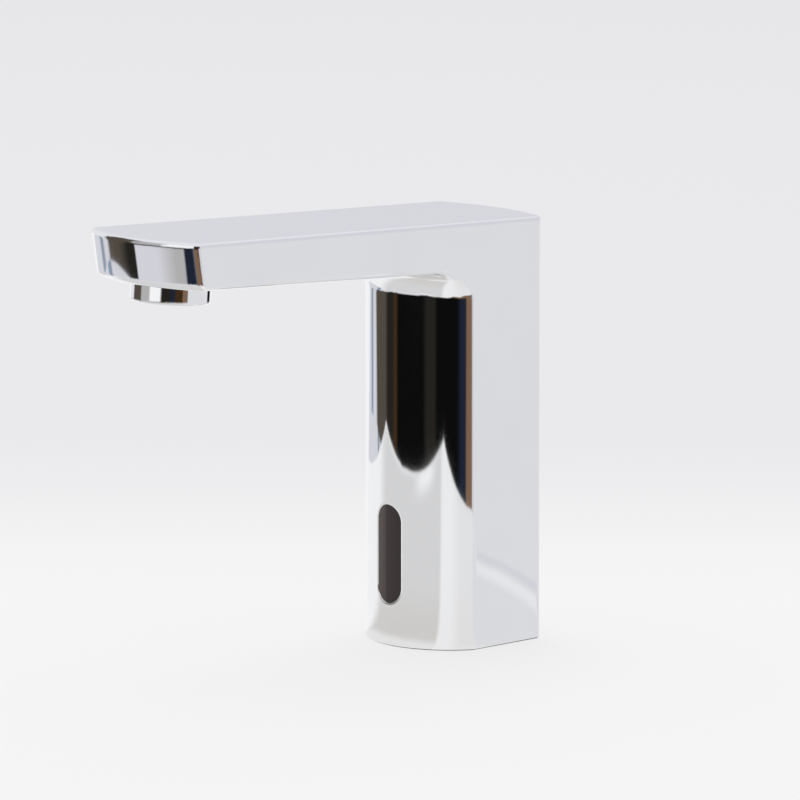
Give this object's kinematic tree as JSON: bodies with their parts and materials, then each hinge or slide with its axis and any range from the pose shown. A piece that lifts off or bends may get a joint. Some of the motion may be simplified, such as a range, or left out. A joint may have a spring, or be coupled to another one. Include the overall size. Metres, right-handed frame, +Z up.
{
  "type": "sensor tap",
  "caption": "Touch-free deck-mounted basin tap: D-shaped chrome column with a dark sensor window, flat spout with an aerator, and a solenoid valve inside.",
  "frame": {"origin": "on the mounting shank's axis, in the plane of the deck that the tap stands on", "axes": "+Z up, away from the deck; the spout points along -Y; +X completes a right-handed frame, and is on the right for someone who stands before the tap"},
  "size_m": [0.0562, 0.1766, 0.2135],
  "materials": {
    "chrome": "polished",
    "chrome_ring": "polished",
    "dark_lens": "gloss",
    "black_rubber": "matte",
    "black_plastic": "matte",
    "white_plastic": "satin",
    "grey_plastic": "satin",
    "board_green": "satin",
    "clear_lens": "gloss",
    "brass": "machined",
    "steel": "machined",
    "blue_plastic": "satin"
  },
  "bodies": {
    "tap": {"tap_body": "chrome", "base_seal": "black_rubber", "sensor_window": "dark_lens", "window_gasket": "black_rubber", "sensor_housing": "black_plastic", "sensor_lid": "black_plastic", "circuit_board": "board_green", "infrared_emitter": "clear_lens", "infrared_receiver": "clear_lens", "sensor_screws": "steel", "base_plate": "brass", "base_plate_screws": "steel", "shank": "brass", "inlet_block": "brass", "inlet_block_screws": "steel", "inlet_filter": "steel", "check_housing": "grey_plastic", "check_spring": "steel", "check_guide": "grey_plastic", "cable_grommet": "black_rubber", "riser_pipe": "white_plastic", "riser_seals": "black_rubber", "valve_stays": "brass", "valve_body": "grey_plastic", "valve_bonnet": "grey_plastic", "bonnet_screws": "steel", "armature_tube": "steel", "pole_piece": "steel", "plunger_spring": "steel", "solenoid_coil": "blue_plastic", "coil_yoke": "steel", "coil_nut": "brass", "outlet_pipe": "white_plastic", "pipe_seals": "black_rubber"},
    "clamp_stack": {"clamp_gasket": "black_rubber", "clamp_washer": "steel"},
    "lock_nut": {"lock_nut": "brass"},
    "aerator_core": {"aerator_cartridge": "white_plastic", "aerator_screen": "steel", "flow_regulator": "white_plastic", "aerator_washer": "black_rubber"},
    "aerator_ring": {"aerator_shroud": "chrome_ring"},
    "check_poppet": {"check_poppet": "white_plastic"},
    "plunger": {"plunger": "steel", "plunger_tip": "black_rubber"},
    "piston": {"main_piston": "white_plastic", "piston_seal": "black_rubber"}
  },
  "joints": [
    {"name": "clamp_travel", "type": "slide", "parent": "tap", "child": "clamp_stack", "axis": [0, 0, 1], "range_m": [-0.0198, 0.0178]},
    {"name": "nut_turn", "type": "hinge", "parent": "clamp_stack", "child": "lock_nut", "pos_m": [0, 0, 0], "axis": [0, 0, 1], "range_deg": [-4800, 4320]},
    {"name": "aerator_travel", "type": "slide", "parent": "tap", "child": "aerator_core", "axis": [0, -0.0797, -0.9968], "range_m": [0, 0.0044]},
    {"name": "shroud_turn", "type": "hinge", "parent": "aerator_core", "child": "aerator_ring", "pos_m": [0, -0.129, 0.13421], "axis": [0, -0.0797, -0.9968], "range_deg": [0, 1620]},
    {"name": "poppet_lift", "type": "slide", "parent": "tap", "child": "check_poppet", "axis": [0, 0, 1], "range_m": [0, 0.0025], "stiffness_N_per_m": 60, "springref_m": -0.002, "deforming": ["check_spring"]},
    {"name": "plunger_lift", "type": "slide", "parent": "tap", "child": "plunger", "axis": [0, 0, 1], "range_m": [0, 0.0025], "stiffness_N_per_m": 120, "springref_m": -0.003, "deforming": ["plunger_spring"]},
    {"name": "piston_lift", "type": "slide", "parent": "tap", "child": "piston", "axis": [0, 0, 1], "range_m": [0, 0.002]}
  ],
  "couplings": [
    {"joint": "nut_turn", "follows": "clamp_travel", "rad_per_m": 4188.8},
    {"joint": "shroud_turn", "follows": "aerator_travel", "rad_per_m": 6283.2},
    {"joint": "piston_lift", "follows": "plunger_lift", "ratio": 0.8}
  ]
}
